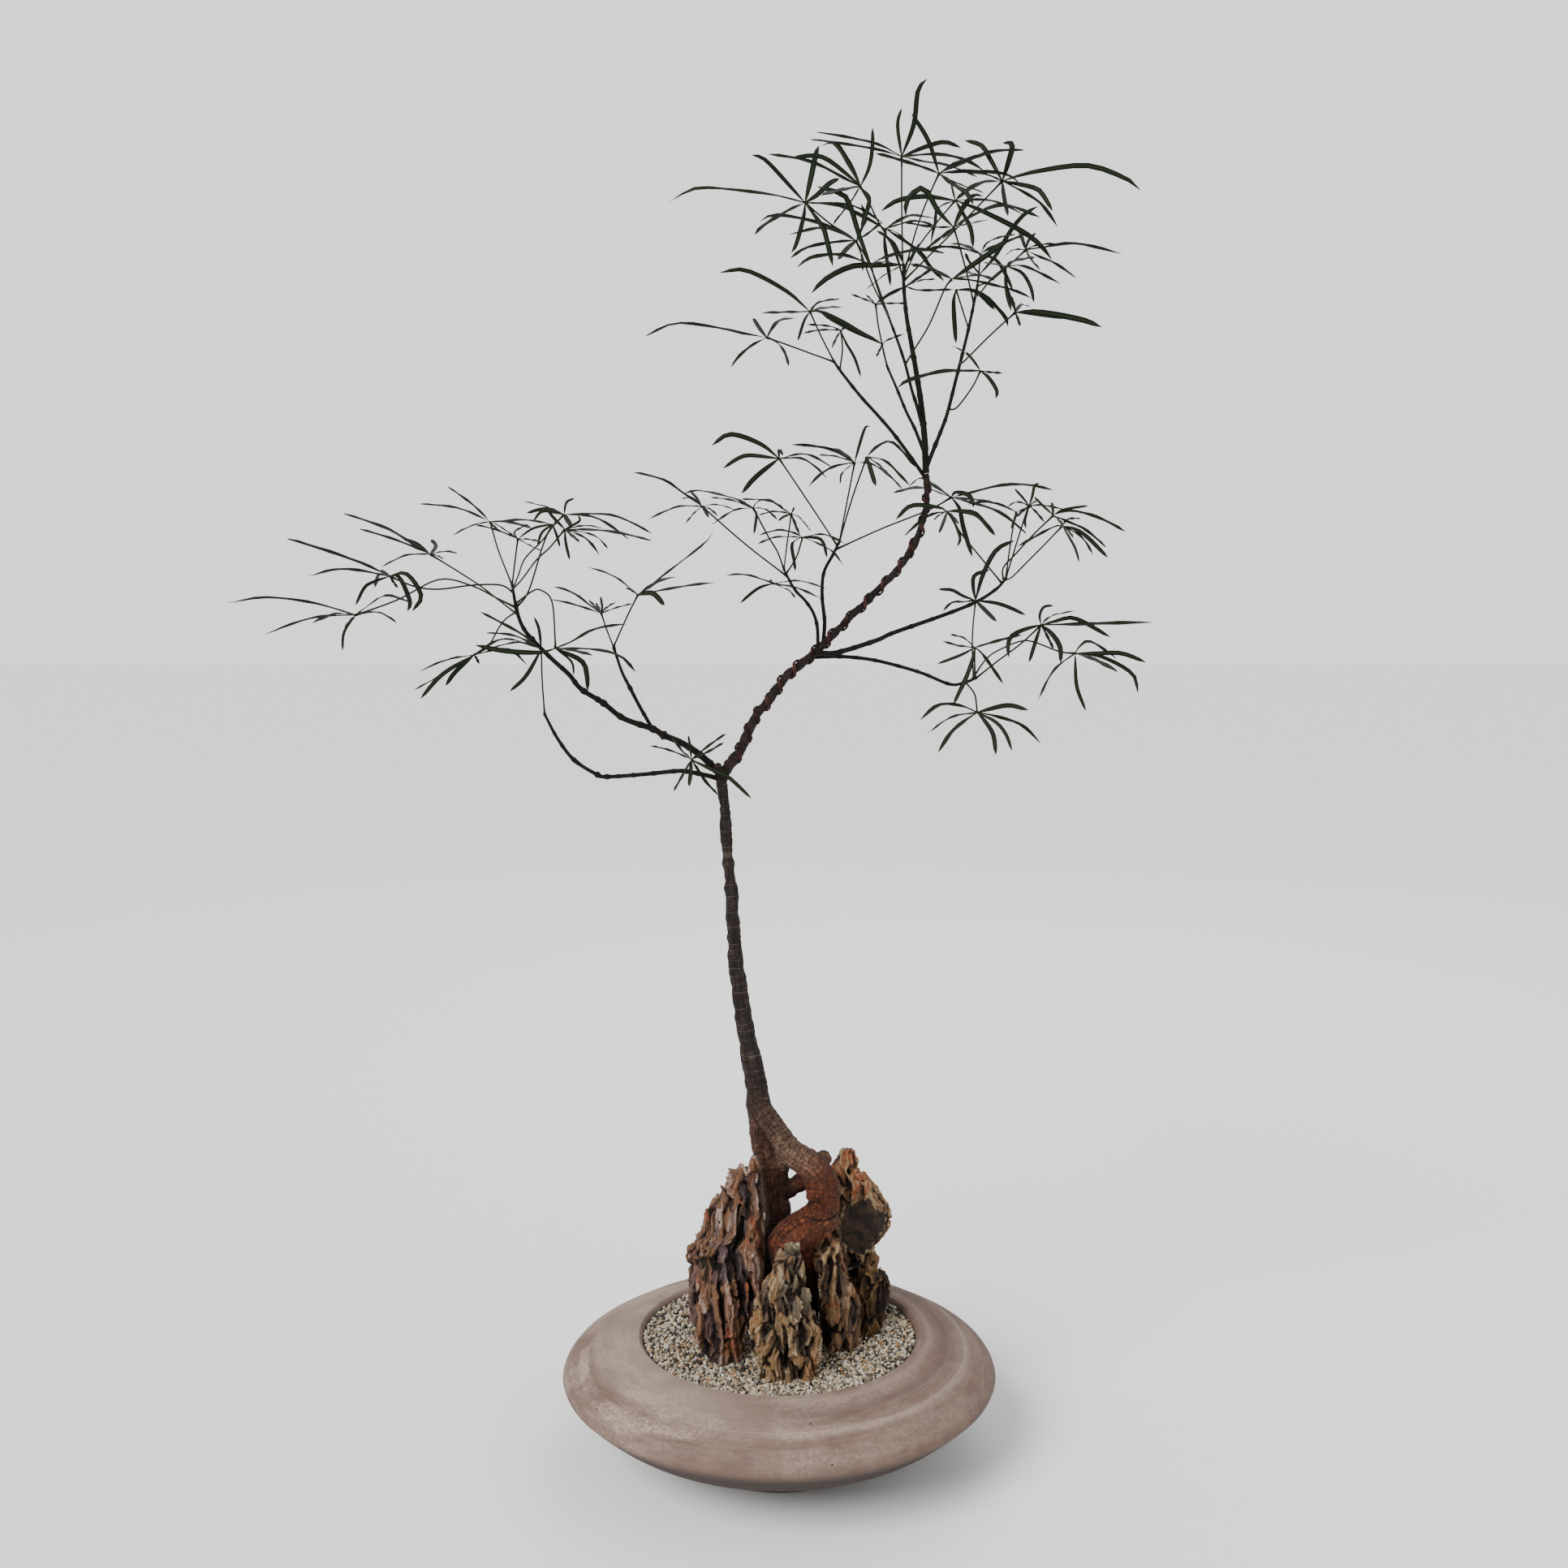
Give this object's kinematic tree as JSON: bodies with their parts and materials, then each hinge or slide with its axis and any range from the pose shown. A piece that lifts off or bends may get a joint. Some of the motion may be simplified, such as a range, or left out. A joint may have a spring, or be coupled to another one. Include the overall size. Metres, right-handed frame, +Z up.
{
  "type": "potted queensland bottle tree",
  "caption": "Young narrow-leaved bottle tree with a wired branch and exposed roots grown over upright stones in a shallow round clay pot topped with grit.",
  "frame": {"origin": "middle of the pot's flat foot, on the surface it stands on", "axes": "+Z up; +X to the right and +Y away from someone who sees the tree from its front, with the long leafy branch on the left"},
  "size_m": [0.6457, 0.32, 0.9771],
  "materials": {
    "clay": "matt fired clay with a pale bloom",
    "mesh": "plastic mesh",
    "earth": "damp growing mix",
    "grit": "loose mixed grit",
    "stone": "rough layered stone",
    "bark": "bark",
    "copper": "annealed brown copper",
    "leaf": "satin leaf"
  },
  "bodies": {
    "root": {"pot": "clay", "drain_screen_1": "mesh", "drain_screen_2": "mesh", "drain_screen_3": "mesh", "soil": "earth", "gravel": "grit", "stone_left": "stone", "stone_front": "stone", "stone_middle": "stone", "stone_back": "stone", "stone_right": "stone", "tree": "bark", "training_wire": "copper", "crown_shoot": "leaf", "crown_left_twig": "leaf", "left_branch": "leaf", "left_side_twig": "leaf", "left_low_twig": "leaf", "fork_leaf": "leaf", "middle_left_twig": "leaf", "middle_right_twig": "leaf", "right_upper_twig": "leaf", "right_lower_twig": "leaf"}
  },
  "joints": []
}
